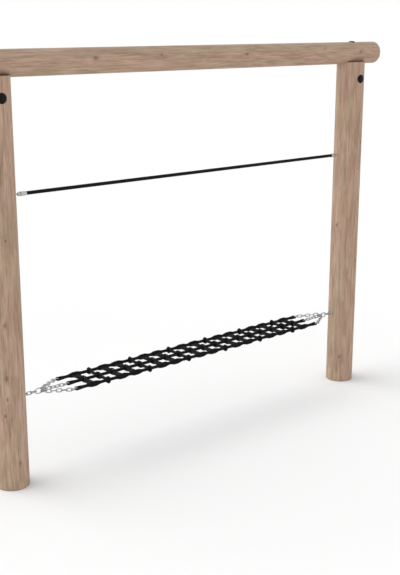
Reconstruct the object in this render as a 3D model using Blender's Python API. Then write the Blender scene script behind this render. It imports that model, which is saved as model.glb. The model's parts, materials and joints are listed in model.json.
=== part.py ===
"""A rope balance bridge for a play area.

Two round timber posts carry a round timber beam. A taut hand rope runs between the
posts at chest height, and a narrow rope net hangs on chains between them, low down.
The net rolls about the line through its two eyebolts.

Metres, +Z up, +X from the left post to the right post, and the front faces -Y.
The origin is the centre of the left post's foot.
"""

import math

import bmesh
import bpy
from mathutils import Matrix, Vector

# Timber frame
POST_SPACING = 2.310
POST_RADIUS = 0.080
POST_HEIGHT = 1.9275
BEAM_RADIUS = 0.0605
BEAM_AXIS_HEIGHT = 1.976
BEAM_OVERHANG = 0.200
BEAM_END_CHAMFER = 0.014
TIMBER_SIDES = 40

# Clearance between pieces that touch, and overlap where the links of a chain are fused
GAP = 0.0003
FUSE = 0.0006

# Bolt caps on the front of each post and on the beam above it
POST_CAP_HEIGHT = 1.8325
CAP_RADIUS = 0.024
CAP_CROWN = 0.009
BEAM_CAP_RADIUS = 0.019
BEAM_CAP_CROWN = 0.0055
CAP_SKIRT = 0.007
CAP_STEM_RADIUS = 0.013
CAP_STEM_DEPTH = 0.020
CAP_SIDES = 24

# Studs that hold the ropes and chains in the posts
STUD_RADIUS = 0.004
STUD_DEPTH = 0.060
STUD_SIDES = 12

# Hand rope and the turned fittings at its ends
HAND_ROPE_HEIGHT = 1.3977
HAND_ROPE_RADIUS = 0.0087
HAND_ROPE_SIDES = 16
FITTING_NECK = 0.0155
FITTING_LENGTH = 0.0625
FITTING_RADIUS = 0.0110
FITTING_MOUTH_RADIUS = 0.0098
FITTING_GROOVE = 0.029
SOCKET_DEPTH = 0.027

# Galvanised chain: the wire, and the outer length and width of each kind of link
CHAIN_WIRE = 0.0055
WIRE_SIDES = 6
LINK_LENGTH = 0.035
LINK_WIDTH = 0.0205
JUNCTION_LENGTH = 0.047
JUNCTION_WIDTH = 0.031
OUTER_CHAIN_LINKS = 7
MIDDLE_CHAIN_LINKS = 6
CHAIN_STACK_STEP = 0.0063
EYEBOLT_HOLE_RADIUS = 0.006

# Rope net: three long ropes, and short ropes that cross them at even stations
HANGER_HEIGHT = 0.437
NET_HEIGHT = 0.4345
ROPE_RADIUS = 0.008
ROPE_SIDES = 8
ROPE_FULLNESS = 1.04
ROPE_PITCH = 0.086
STATION_COUNT = 18
ROPE_EYE_TILT = math.radians(40)
ROPE_EYE_RADIUS = 0.0039
ROPE_EYE_HOLE_RADIUS = 0.0043
ROPE_EYE_LEG_LENGTH = 0.050

# Where a long rope opens round a short one, and where a short one opens round a long one
SPINDLE_HALF_LENGTH = 0.042
SPINDLE_HALF_WIDTH = 0.0115
SPINDLE_HALF_HEIGHT = 0.0155
KNOT_HALF_WIDTH = 0.0095
KNOT_HALF_HEIGHT = 0.0185
KNOT_HALF_LENGTH = 0.030
END_KNOT_REACH = 0.100
SHORT_ROPE_REACH = 0.0917
FAN_HALF_WIDTH = 0.0205

MIDDLE = POST_SPACING / 2
POST_FACE = POST_RADIUS
WIRE_RADIUS = CHAIN_WIRE / 2
LINK_STEP = LINK_LENGTH - 2 * CHAIN_WIRE + FUSE
FIRST_STATION = MIDDLE - ROPE_PITCH * (STATION_COUNT - 1) / 2

# The first link hooks the eyebolt's ring, and the junction link follows the second one
RING_RADIUS = EYEBOLT_HOLE_RADIUS + WIRE_RADIUS
RING_CENTRE = POST_FACE + 0.0005 + RING_RADIUS + WIRE_RADIUS
FIRST_LINK = RING_CENTRE + EYEBOLT_HOLE_RADIUS - GAP - CHAIN_WIRE + LINK_LENGTH / 2
SECOND_LINK = FIRST_LINK + LINK_STEP
JUNCTION_LINK = SECOND_LINK + (LINK_LENGTH + JUNCTION_LENGTH) / 2 - 2 * CHAIN_WIRE + FUSE
JUNCTION_BOW = JUNCTION_LINK + (JUNCTION_LENGTH - JUNCTION_WIDTH) / 2
# How the outer chains leave the junction link: the first link swings round the middle chain
OUTER_HOOK_X = JUNCTION_BOW + 0.0102
OUTER_HOOK_DEPTH = 0.0080
FIRST_LINK_SWING = math.radians(46)
LAST_LINK_SWING = math.radians(8)
MIDDLE_HOOK_X = JUNCTION_BOW + JUNCTION_WIDTH / 2 - WIRE_RADIUS
MIDDLE_HOOK_DEPTH = CHAIN_WIRE + 2 * GAP

# How far the last wire of a chain lies from the middle of the bend in a rope's eye
EYE_SLACK = ROPE_EYE_HOLE_RADIUS - WIRE_RADIUS - 0.0007


def srgb(hex_colour):
    """Linear colour values for a six-digit sRGB hex colour."""
    values = [int(hex_colour[i:i + 2], 16) / 255 for i in (0, 2, 4)]
    linear = [v / 12.92 if v <= 0.04045 else ((v + 0.055) / 1.055) ** 2.4 for v in values]
    return (*linear, 1.0)


def finish(name, hex_colour, roughness, metallic=0.0):
    """A plain surface finish."""
    material = bpy.data.materials.new(name)
    material.use_nodes = True
    shader = material.node_tree.nodes["Principled BSDF"]
    shader.inputs["Base Color"].default_value = srgb(hex_colour)
    shader.inputs["Roughness"].default_value = roughness
    shader.inputs["Metallic"].default_value = metallic
    return material


def place(name, body, material=None):
    """Turn a bmesh into an object, smooth where it is round; with no material it is a cutter."""
    bmesh.ops.recalc_face_normals(body, faces=body.faces)
    mesh = bpy.data.meshes.new(name)
    body.to_mesh(mesh)
    body.free()
    mesh.shade_smooth()
    mesh.set_sharp_from_angle(angle=math.radians(50))
    piece = bpy.data.objects.new(name, mesh)
    bpy.context.scene.collection.objects.link(piece)
    if material is None:
        piece.hide_render = True
        piece.display_type = "WIRE"
    else:
        mesh.materials.append(material)
    return piece


def combine(piece, operation, other):
    """Join a piece with a second body, or cut it with one."""
    step = piece.modifiers.new(f"{operation.lower()} {other.name}", "BOOLEAN")
    step.operation = operation
    step.solver = "EXACT"
    step.object = other


def gather(bodies):
    """Put several bodies that don't touch into one bmesh."""
    whole = bmesh.new()
    for body in bodies:
        mesh = bpy.data.meshes.new("gathered body")
        body.to_mesh(mesh)
        body.free()
        whole.from_mesh(mesh)
        bpy.data.meshes.remove(mesh)
    return whole


def on_side(body, side):
    """Leave a left-hand body as it is, or turn it into its right-hand twin."""
    if side == "right":
        across = Matrix.Translation((POST_SPACING, 0, 0)) @ Matrix.Scale(-1, 4, (1, 0, 0))
        bmesh.ops.transform(body, matrix=across, verts=body.verts)
    return body


def frame_along(origin, direction, roll=0.0):
    """A frame with X along a direction; without roll its Z is as upright as it can be."""
    x_axis = Vector(direction).normalized()
    upright = Vector((1, 0, 0)) if abs(x_axis.z) > 0.99 else Vector((0, 0, 1))
    y_axis = upright.cross(x_axis).normalized()
    axes = Matrix((x_axis, y_axis, x_axis.cross(y_axis))).transposed().to_4x4()
    return Matrix.Translation(origin) @ axes @ Matrix.Rotation(roll, 4, "X")


def section(frame, half_width, half_height):
    """A frame whose unit circle across X has the given half width and half height."""
    return frame @ Matrix.Diagonal((1, half_width, half_height, 1))


def edges_of(geometry):
    """The edges in what an extrusion or a spin gives back."""
    return [item for item in geometry if isinstance(item, bmesh.types.BMEdge)]


def corners_of(geometry):
    """The corners in what an extrusion or a spin gives back."""
    return [item for item in geometry if isinstance(item, bmesh.types.BMVert)]


def ring_of(body, sides, radius, frame):
    """An open ring in a body: a circle across X in its frame."""
    upright = Matrix(((0, 0, 1, 0), (1, 0, 0, 0), (0, 1, 0, 0), (0, 0, 0, 1)))
    circle = bmesh.ops.create_circle(body, segments=sides, radius=radius, matrix=frame @ upright)
    edges = list({edge for corner in circle["verts"] for edge in corner.link_edges})
    return circle["verts"] + edges


def swept(sections, sides):
    """A closed body that passes through a list of sections."""
    body = bmesh.new()
    flat_on_top = Matrix.Rotation(math.pi / sides, 4, "X")
    ring = ring_of(body, sides, 1.0, sections[0] @ flat_on_top)
    for before, after in zip(sections, sections[1:]):
        ring = bmesh.ops.extrude_edge_only(body, edges=edges_of(ring))["geom"]
        bmesh.ops.transform(body, matrix=after @ before.inverted(), verts=corners_of(ring))
    bmesh.ops.holes_fill(body, edges=body.edges)
    return body


def turned(origin, direction, profile, sides):
    """A round body about an axis: the profile lists (distance along the axis, radius)."""
    frame = frame_along(origin, direction)
    steps = [section(frame @ Matrix.Translation((x, 0, 0)), r, r) for x, r in profile]
    return swept(steps, sides)


def rod(start, end, radius, sides):
    """A plain round bar between two points."""
    axis = Vector(end) - Vector(start)
    return turned(start, axis, [(0, radius), (axis.length, radius)], sides)


def link(length, width, bow_steps, frame):
    """One chain link about its frame's origin, its length along X and its width along Z."""
    body = bmesh.new()
    straight = length - width
    corner = Matrix.Translation((-straight / 2, 0, (width - CHAIN_WIRE) / 2))
    ring = ring_of(body, WIRE_SIDES, WIRE_RADIUS, corner)
    for heading in (1, -1):
        ring = bmesh.ops.extrude_edge_only(body, edges=edges_of(ring))["geom"]
        bmesh.ops.translate(body, vec=(heading * straight, 0, 0), verts=corners_of(ring))
        bend = bmesh.ops.spin(body, geom=corners_of(ring) + edges_of(ring),
                              cent=(heading * straight / 2, 0, 0), axis=(0, 1, 0),
                              angle=math.pi, steps=bow_steps)
        ring = bend["geom_last"]
    bmesh.ops.remove_doubles(body, verts=body.verts, dist=0.00001)
    bmesh.ops.transform(body, matrix=frame, verts=body.verts)
    return body


def chain(name, links, side, material):
    """A chain whose neighbouring links are fused where they touch, as one closed body."""
    whole = place(name, on_side(gather(links[0::2]), side), material)
    others = place(f"{name} other links", on_side(gather(links[1::2]), side))
    combine(whole, "UNION", others)


def build_posts(wood, seat):
    """Round posts with a shallow seat for the beam and holes for the studs and cap stems."""
    for side, x, inward in (("left", 0.0, 1), ("right", POST_SPACING, -1)):
        post = place(f"{side}_post", rod((x, 0, 0), (x, 0, POST_HEIGHT), POST_RADIUS, TIMBER_SIDES),
                     wood)
        stud_end = x + inward * (POST_RADIUS - STUD_DEPTH - GAP)
        mouth = x + inward * (POST_RADIUS + 0.01)
        holes = [rod((mouth, 0, z), (stud_end, 0, z), STUD_RADIUS + GAP, STUD_SIDES)
                 for z in (HANGER_HEIGHT, HAND_ROPE_HEIGHT)]
        cap_end = -POST_RADIUS + CAP_STEM_DEPTH + GAP
        holes.append(rod((x, -POST_RADIUS - 0.01, POST_CAP_HEIGHT), (x, cap_end, POST_CAP_HEIGHT),
                         CAP_STEM_RADIUS + GAP, CAP_SIDES))
        combine(post, "DIFFERENCE", seat)
        combine(post, "DIFFERENCE", place(f"{side} post holes", gather(holes)))


def build_beam(wood):
    """The round beam on the posts, with chamfered ends and holes for its cap stems."""
    length = POST_SPACING + 2 * BEAM_OVERHANG
    end_radius = BEAM_RADIUS - BEAM_END_CHAMFER
    profile = [(0, end_radius), (BEAM_END_CHAMFER, BEAM_RADIUS),
               (length - BEAM_END_CHAMFER, BEAM_RADIUS), (length, end_radius)]
    beam = place("top_beam", turned((-BEAM_OVERHANG, 0, BEAM_AXIS_HEIGHT), (1, 0, 0), profile,
                                    TIMBER_SIDES), wood)
    top = BEAM_AXIS_HEIGHT + BEAM_RADIUS
    holes = [rod((x, 0, top + 0.01), (x, 0, top - CAP_STEM_DEPTH - GAP), CAP_STEM_RADIUS + GAP,
                 CAP_SIDES) for x in (0, POST_SPACING)]
    combine(beam, "DIFFERENCE", place("beam cap holes", gather(holes)))


def build_cap(name, seat_point, outward, radius, crown, timber, material):
    """A domed bolt cap that follows the round timber, with its stem in the timber."""
    profile = [(-CAP_SKIRT, radius), (0.001, radius), (0.55 * crown, 0.86 * radius),
               (0.88 * crown, 0.6 * radius), (crown, 0.2 * radius)]
    cap = place(name, turned(seat_point, outward, profile, CAP_SIDES), material)
    combine(cap, "DIFFERENCE", timber)
    inward = Vector(outward) * -CAP_STEM_DEPTH
    start = Vector(seat_point) + Vector(outward) * 0.002
    stem = rod(start, Vector(seat_point) + inward, CAP_STEM_RADIUS, CAP_SIDES)
    combine(cap, "UNION", place(f"{name} stem", stem))


def build_caps(plastic, seat):
    """One cap on the front of each post and one on the beam above it."""
    for side, x in (("left", 0.0), ("right", POST_SPACING)):
        surround = place(f"{side} post surround", rod((x, 0, 1.7), (x, 0, 1.9), POST_RADIUS + GAP,
                                                      TIMBER_SIDES))
        front = (x, -POST_RADIUS, POST_CAP_HEIGHT)
        build_cap(f"{side}_post_cap", front, (0, -1, 0), CAP_RADIUS, CAP_CROWN, surround, plastic)
        top = (x, 0, BEAM_AXIS_HEIGHT + BEAM_RADIUS)
        build_cap(f"{side}_beam_cap", top, (0, 0, 1), BEAM_CAP_RADIUS, BEAM_CAP_CROWN, seat,
                  plastic)


def build_hand_rope(rope, steel):
    """The taut hand rope, its ends in the sockets of two turned fittings."""
    rope_start = POST_FACE + FITTING_LENGTH - SOCKET_DEPTH + GAP
    ends = [(x, 0, HAND_ROPE_HEIGHT) for x in (rope_start, POST_SPACING - rope_start)]
    place("hand_rope", rod(*ends, HAND_ROPE_RADIUS, HAND_ROPE_SIDES), rope)
    groove_radius = FITTING_RADIUS - 0.0015
    profile = [(-STUD_DEPTH, STUD_RADIUS), (FITTING_NECK, STUD_RADIUS),
               (FITTING_NECK + 0.002, 0.68 * FITTING_RADIUS),
               (FITTING_NECK + 0.006, 0.89 * FITTING_RADIUS),
               (FITTING_GROOVE - 0.001, 0.95 * FITTING_RADIUS), (FITTING_GROOVE, groove_radius),
               (FITTING_GROOVE + 0.002, groove_radius), (FITTING_GROOVE + 0.003, FITTING_RADIUS),
               (FITTING_LENGTH - 0.012, FITTING_RADIUS), (FITTING_LENGTH, FITTING_MOUTH_RADIUS)]
    for side, x, inward in (("left", 0.0, 1), ("right", POST_SPACING, -1)):
        face = (x + inward * POST_FACE, 0, HAND_ROPE_HEIGHT)
        fitting = place(f"{side}_hand_rope_fitting",
                        turned(face, (inward, 0, 0), profile, HAND_ROPE_SIDES), steel)
        bottom = x + inward * (POST_FACE + FITTING_LENGTH - SOCKET_DEPTH)
        mouth = x + inward * (POST_FACE + FITTING_LENGTH + 0.01)
        socket = rod((bottom, 0, HAND_ROPE_HEIGHT), (mouth, 0, HAND_ROPE_HEIGHT),
                     HAND_ROPE_RADIUS + GAP, HAND_ROPE_SIDES)
        combine(fitting, "DIFFERENCE", place(f"{side} rope socket", socket))


def build_eyebolts(steel):
    """The eyebolts that hold the net: a level ring on a stud in each post."""
    for side in ("left", "right"):
        ring = bmesh.new()
        across = frame_along((RING_CENTRE + RING_RADIUS, 0, HANGER_HEIGHT), (0, 1, 0), math.pi / 2)
        start = ring_of(ring, WIRE_SIDES, WIRE_RADIUS, across)
        bmesh.ops.spin(ring, geom=start, cent=(RING_CENTRE, 0, HANGER_HEIGHT),
                       axis=(0, 0, 1), angle=2 * math.pi, steps=12, use_merge=True)
        eyebolt = place(f"{side}_net_eyebolt", on_side(ring, side), steel)
        stud = rod((POST_FACE - STUD_DEPTH, 0, HANGER_HEIGHT),
                   (RING_CENTRE - RING_RADIUS + 0.001, 0, HANGER_HEIGHT), STUD_RADIUS, STUD_SIDES)
        combine(eyebolt, "UNION", place(f"{side} eyebolt stud", on_side(stud, side)))


def build_trunk_chains(steel):
    """Two links from each eyebolt, and the long junction link that the other chains hook."""
    for side in ("left", "right"):
        along_x = (1, 0, 0)
        first = frame_along((FIRST_LINK, 0, HANGER_HEIGHT), along_x)
        second = frame_along((SECOND_LINK, 0, HANGER_HEIGHT), along_x, math.pi / 2)
        junction = frame_along((JUNCTION_LINK, 0, HANGER_HEIGHT), along_x)
        links = [link(LINK_LENGTH, LINK_WIDTH, 4, first), link(LINK_LENGTH, LINK_WIDTH, 4, second),
                 link(JUNCTION_LENGTH, JUNCTION_WIDTH, 8, junction)]
        chain(f"{side}_trunk_chain", links, side, steel)


def chain_course(row):
    """Where each link of a chain starts and ends, and the middle of the rope's eye it holds."""
    count = OUTER_CHAIN_LINKS if row else MIDDLE_CHAIN_LINKS
    reach = LINK_LENGTH - CHAIN_WIRE
    bend = (LINK_WIDTH - CHAIN_WIRE) / 2
    swings = [0.0] * count
    depth = MIDDLE_HOOK_DEPTH
    hook = Vector((MIDDLE_HOOK_X, 0, HANGER_HEIGHT))
    if row:
        depth = OUTER_HOOK_DEPTH
        hook = Vector((OUTER_HOOK_X, 0, HANGER_HEIGHT + row * CHAIN_STACK_STEP))
        first_aside = (reach - depth) * math.sin(FIRST_LINK_SWING)
        last_aside = (LINK_STEP - bend) * math.sin(LAST_LINK_SWING)
        aside = (ROPE_PITCH - first_aside - last_aside) / ((count - 2) * LINK_STEP)
        swings = [FIRST_LINK_SWING, *[math.asin(aside)] * (count - 2), LAST_LINK_SWING]
    slope = (NET_HEIGHT - hook.z) / ((count - 1) * LINK_STEP - bend)
    course = []
    for i, swing in enumerate(swings):
        heading = Vector((math.cos(swing), row * math.sin(swing), slope if i else 0.0))
        start = hook - depth * heading
        hook = start + reach * heading
        depth = CHAIN_WIRE - FUSE
        course.append((start, hook))
    eye_x = hook.x + bend * (1 - heading.x) + EYE_SLACK
    eye = Vector((eye_x, row * ROPE_PITCH, NET_HEIGHT))
    return course, eye


def build_fan_chains(steel):
    """Three chains that fan out from each junction link to the ends of the long ropes."""
    first_roll = math.pi / 2
    for name, row in (("rear", 1), ("middle", 0), ("front", -1)):
        course, _ = chain_course(row)
        steps = len(course) - 1
        half_turns = round((steps * math.pi / 2 + first_roll - ROPE_EYE_TILT) / math.pi)
        roll_step = (ROPE_EYE_TILT + half_turns * math.pi - first_roll) / steps
        for side in ("left", "right"):
            links = []
            for i, (start, end) in enumerate(course):
                frame = frame_along((start + end) / 2, end - start, first_roll + i * roll_step)
                links.append(link(LINK_LENGTH, LINK_WIDTH, 4, frame))
            chain(f"{side}_{name}_chain", links, side, steel)


def rope_section(x, half_width, half_height):
    """A section of a rope that runs along X, filled out for its few sides."""
    return section(Matrix.Translation((x, 0, 0)), half_width * ROPE_FULLNESS,
                   half_height * ROPE_FULLNESS)


def rope_eye():
    """The split end of a rope: two legs that part and run round the last chain link."""
    leg_offset = ROPE_EYE_HOLE_RADIUS + ROPE_EYE_RADIUS
    joined_offset = 0.44 * ROPE_RADIUS
    path = []
    for i in range(5):
        parting = 0.5 - 0.5 * math.cos(math.pi * i / 4)
        x = ROPE_EYE_LEG_LENGTH + (0.006 - ROPE_EYE_LEG_LENGTH) * i / 4
        path.append(Vector((x, joined_offset + (leg_offset - joined_offset) * parting, 0)))
    returning = [Vector((point.x, -point.y, 0)) for point in reversed(path)]
    for i in range(7):
        turn = math.pi * i / 6
        path.append(Vector((-leg_offset * math.sin(turn), leg_offset * math.cos(turn), 0)))
    path += returning
    sections = []
    for i, point in enumerate(path):
        heading = path[min(i + 1, len(path) - 1)] - path[max(i - 1, 0)]
        radius = ROPE_EYE_RADIUS
        if point.x > 0:
            radius = min(radius, abs(point.y) - GAP / 2)
        sections.append(section(frame_along(point, heading), radius, radius))
    return swept(sections, ROPE_SIDES)


def rope_eyes(row):
    """The eyes at both ends of one long rope."""
    eyes = []
    for side in ("left", "right"):
        eye = rope_eye()
        seat = Matrix.Translation(chain_course(row)[1]) @ Matrix.Rotation(ROPE_EYE_TILT, 4, "X")
        bmesh.ops.transform(eye, matrix=seat, verts=eye.verts)
        eyes.append(on_side(eye, side))
    return gather(eyes)


def station_x(k):
    """The place of one short rope along the net."""
    return FIRST_STATION + k * ROPE_PITCH


def is_knotted(k):
    """Every third short rope, from the second, passes round the outer ropes and ends in knots."""
    return k % 3 == 1


def spindle_sections():
    """An outer rope from its first spindle to its last, thin where it passes through a knot."""
    sections = []
    for k in range(STATION_COUNT):
        if is_knotted(k):
            continue
        for reach, swell in ((-1.0, 0.0), (-0.66, 0.5), (-0.28, 1.0),
                             (0.28, 1.0), (0.66, 0.5), (1.0, 0.0)):
            wide = ROPE_RADIUS + swell * (SPINDLE_HALF_WIDTH - ROPE_RADIUS)
            high = ROPE_RADIUS + swell * (SPINDLE_HALF_HEIGHT - ROPE_RADIUS)
            sections.append(rope_section(station_x(k) + reach * SPINDLE_HALF_LENGTH, wide, high))
    return sections


def build_long_ropes(rope):
    """Three long ropes with an eye at each end; the outer two open round short ropes."""
    bores = []
    bore_radius = (ROPE_RADIUS + GAP) * ROPE_FULLNESS
    for k in range(STATION_COUNT):
        for row in (1, -1):
            start = (station_x(k), row * (ROPE_PITCH - 0.03), NET_HEIGHT)
            end = (station_x(k), row * (SHORT_ROPE_REACH + GAP), NET_HEIGHT)
            if not is_knotted(k):
                bores.append(rod(start, end, bore_radius, ROPE_SIDES))
    short_rope_bores = place("short rope bores", gather(bores))
    full_start = FIRST_STATION - SPINDLE_HALF_LENGTH
    for name, row in (("rear", 1), ("middle", 0), ("front", -1)):
        taper_start = chain_course(row)[1].x + 0.026
        first = rope_section(taper_start, 0.005, 0.004)
        last = rope_section(POST_SPACING - taper_start, 0.005, 0.004)
        between = [rope_section(x, ROPE_RADIUS, ROPE_RADIUS)
                   for x in (full_start, POST_SPACING - full_start)]
        if row:
            between = spindle_sections()
        body = swept([first, *between, last], ROPE_SIDES)
        seat = Matrix.Translation((0, row * ROPE_PITCH, NET_HEIGHT))
        bmesh.ops.transform(body, matrix=seat, verts=body.verts)
        long_rope = place(f"{name}_net_rope", body, rope)
        combine(long_rope, "UNION", place(f"{name} rope eyes", rope_eyes(row)))
        if row:
            combine(long_rope, "DIFFERENCE", short_rope_bores)


def build_short_ropes(rope):
    """The ropes across the net, which open above and below the long ropes they pass."""
    full = (KNOT_HALF_WIDTH, KNOT_HALF_HEIGHT)
    middle_knot = [(0.016, 0.0092, 0.0145), (0.006, *full)]
    end_knot = [(END_KNOT_REACH, 0.0055, 0.0075), (0.0965, 0.0086, 0.0135), (0.0915, *full),
                (0.0805, *full), (0.0745, 0.0088, 0.0130), (0.066, ROPE_RADIUS, ROPE_RADIUS),
                (KNOT_HALF_LENGTH, ROPE_RADIUS, ROPE_RADIUS)]
    # A spliced rope's strands fan out flat before they go into the outer rope
    spliced_end = [(SHORT_ROPE_REACH, ROPE_RADIUS, ROPE_RADIUS),
                   (0.0735, ROPE_RADIUS, ROPE_RADIUS), (0.071, 0.017, 0.0072),
                   (0.067, FAN_HALF_WIDTH, ROPE_RADIUS), (0.036, FAN_HALF_WIDTH, ROPE_RADIUS),
                   (0.026, 0.0125, 0.010)]
    tunnels = {}
    for name, rows in (("middle", (0,)), ("outer", (1, -1))):
        tubes = []
        for row in rows:
            start = Vector((FIRST_STATION - 0.02, row * ROPE_PITCH, NET_HEIGHT))
            end = Vector((POST_SPACING - start.x, start.y, NET_HEIGHT))
            tubes.append(rod(start, end, (ROPE_RADIUS + GAP) * ROPE_FULLNESS, ROPE_SIDES))
        tunnels[name] = place(f"{name} rope tunnel", gather(tubes))
    for k in range(STATION_COUNT):
        half = (end_knot if is_knotted(k) else spliced_end) + middle_knot
        profile = [(-y, wide, high) for y, wide, high in half] + list(reversed(half))
        body = swept([rope_section(*station) for station in profile], ROPE_SIDES)
        across = Matrix.Translation((station_x(k), 0, NET_HEIGHT)) @ Matrix.Rotation(math.pi / 2, 4, "Z")
        bmesh.ops.transform(body, matrix=across, verts=body.verts)
        short_rope = place(f"cross_rope_{k + 1:02d}", body, rope)
        combine(short_rope, "DIFFERENCE", tunnels["middle"])
        if is_knotted(k):
            combine(short_rope, "DIFFERENCE", tunnels["outer"])


def build_bridge():
    """Clear the scene and build every piece."""
    for old in list(bpy.data.objects):
        bpy.data.objects.remove(old, do_unlink=True)
    wood = finish("larch", "A88F78", 0.75)
    rope = finish("black polyester rope", "1E1C1D", 0.6)
    steel = finish("galvanised steel", "B4B6B6", 0.4, 1.0)
    plastic = finish("black plastic", "1C1A18", 0.4)
    seat = place("beam seat", rod((-0.3, 0, BEAM_AXIS_HEIGHT), (POST_SPACING + 0.3, 0, BEAM_AXIS_HEIGHT),
                                  BEAM_RADIUS + GAP, TIMBER_SIDES))
    build_posts(wood, seat)
    build_beam(wood)
    build_caps(plastic, seat)
    build_hand_rope(rope, steel)
    build_eyebolts(steel)
    build_trunk_chains(steel)
    build_fan_chains(steel)
    build_long_ropes(rope)
    build_short_ropes(rope)


build_bridge()
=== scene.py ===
"""How the rope balance bridge looks: round larch, black laid rope, galvanised chain."""

import json
import math

import bmesh
import bpy
from mathutils import Matrix, Vector

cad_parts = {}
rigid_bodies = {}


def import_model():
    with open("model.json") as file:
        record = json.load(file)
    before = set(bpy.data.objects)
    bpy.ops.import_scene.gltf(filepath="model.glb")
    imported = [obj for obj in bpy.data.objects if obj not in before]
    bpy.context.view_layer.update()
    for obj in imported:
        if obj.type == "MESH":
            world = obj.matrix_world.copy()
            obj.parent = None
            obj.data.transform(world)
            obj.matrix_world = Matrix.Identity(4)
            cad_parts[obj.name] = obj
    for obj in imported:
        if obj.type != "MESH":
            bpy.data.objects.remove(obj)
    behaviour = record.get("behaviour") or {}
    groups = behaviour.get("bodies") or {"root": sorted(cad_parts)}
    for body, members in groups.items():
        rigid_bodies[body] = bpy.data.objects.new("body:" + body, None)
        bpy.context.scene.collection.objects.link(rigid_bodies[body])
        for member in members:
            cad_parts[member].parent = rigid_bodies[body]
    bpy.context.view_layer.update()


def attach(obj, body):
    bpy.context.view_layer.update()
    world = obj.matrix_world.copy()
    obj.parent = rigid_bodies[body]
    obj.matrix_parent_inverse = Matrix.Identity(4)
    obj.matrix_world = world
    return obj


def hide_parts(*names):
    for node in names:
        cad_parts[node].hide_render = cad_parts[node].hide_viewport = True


for old in list(bpy.data.objects):
    bpy.data.objects.remove(old, do_unlink=True)
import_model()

FRAME_BODY = "timber_frame"
NET_BODY = "rope_net"

# The timber frame, in metres
POST_SPACING = 2.310
POST_RADIUS = 0.080
POST_HEIGHT = 1.9275
POST_RIM = 0.0015
BEAM_RADIUS = 0.0605
BEAM_AXIS_HEIGHT = 1.976
BEAM_OVERHANG = 0.200
BEAM_CHAMFER = 0.016
SEAT_RADIUS = 0.0608
TIMBER_SIDES = 96
TIMBER_STEP = 0.009
POST_CAP_HEIGHT = 1.8325
CAP_RADIUS = 0.0238
CAP_CROWN = 0.0089
BEAM_CAP_RADIUS = 0.0188
BEAM_CAP_CROWN = 0.0054
CAP_SIDES = 48
CAP_DOME_STEPS = 9
# The skirt and rounded rim of a cap: (height above the timber, how far inside the cap's radius)
CAP_RIM = [(-0.0065, 0.0006), (0.0002, 0.0), (0.0008, 0.0), (0.0016, 0.0009), (0.0022, 0.0026)]

# Each end of the bridge: its name, where its post stands along X, and the way inwards
ENDS = (("left", 0.0, 1), ("right", POST_SPACING, -1))
# The long ropes of the net, and the side of the middle one on which each lies
ROWS = (("rear", 1), ("middle", 0), ("front", -1))

# The hand rope and its fittings
HAND_ROPE_HEIGHT = 1.3977
HAND_ROPE_END = 0.1165
HAND_ROPE_RADIUS = 0.0089
HAND_ROPE_LAY = 0.104
FITTING_SIDES = 40
# A fitting from its stud to its sleeve's mouth: (distance from the post's axis, radius)
FITTING_PROFILE = [(0.0700, 0.0040), (0.0950, 0.0040), (0.0962, 0.0052), (0.0975, 0.0072),
                   (0.0995, 0.0087), (0.1020, 0.0097), (0.1050, 0.0102), (0.1072, 0.0102),
                   (0.1078, 0.0098), (0.1080, 0.0058), (0.1124, 0.0058), (0.1126, 0.0104),
                   (0.1134, 0.0110), (0.1300, 0.0110), (0.1350, 0.0107), (0.1400, 0.0100),
                   (0.1425, 0.0097), (0.1425, 0.0088), (0.1385, 0.0087)]

# The chains: LINK_STEP is from one link's middle to the next one's, and LINK_REACH from the
# middle of the wire in one bow of a link to the middle of the wire in its other bow
HANGER_HEIGHT = 0.437
WIRE_RADIUS = 0.00275
WIRE_SIDES = 10
BOW_STEPS = 10
LINK_STEP = 0.0246
LINK_LENGTH = LINK_STEP + 4 * WIRE_RADIUS
LINK_WIDTH = 0.0205
LINK_REACH = 0.0295
WELD_SWELL = 1.16
RING_CENTRE = 0.092
RING_RADIUS = 0.00875
RING_WIRE_SIDES = 12
RING_STEPS = 32
SHANK_SIDES = 24
# An eyebolt's shank, from inside the post to its ring: (distance from the post's axis, radius)
SHANK_PROFILE = [(0.0700, 0.0040), (0.0805, 0.0040), (0.0825, 0.0036), (0.0845, 0.0026)]
FIRST_LINK = 0.1097
JUNCTION_LINK = 0.1649
JUNCTION_LENGTH = 0.047
JUNCTION_WIDTH = 0.031
JUNCTION_BOW = 0.1729
CHAIN_STACK_STEP = 0.0063
# How the chains that fan out start: the outer ones swing round the middle one
OUTER_CHAIN_LINKS = 7
MIDDLE_CHAIN_LINKS = 6
OUTER_HOOK_X = JUNCTION_BOW + 0.0102
OUTER_HOOK_DEPTH = 0.0080
MIDDLE_HOOK_X = JUNCTION_BOW + JUNCTION_WIDTH / 2 - WIRE_RADIUS
MIDDLE_HOOK_DEPTH = 0.0061
FIRST_LINK_SWING = math.radians(46)
LAST_LINK_SWING = math.radians(8)

# The rope net: STRAND_WIND is from a rope's axis to the axes of the strands round its heart
NET_HEIGHT = 0.4345
STRAND_COUNT = 6
STRAND_RADIUS = 0.0030
STRAND_WIND = 0.0055
HEART_RADIUS = 0.0026
HEART_SIDES = 16
ROPE_LAY = 0.092
ROPE_PITCH = 0.086
STATION_COUNT = 18
FIRST_STATION = POST_SPACING / 2 - ROPE_PITCH * (STATION_COUNT - 1) / 2
EYE_TILT = math.radians(40)
EYE_RADIUS = 0.0082
EYE_HALF_WIDTH = 0.0123
EYE_LEG_LENGTH = 0.050
EYE_SLACK = 0.00085
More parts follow.
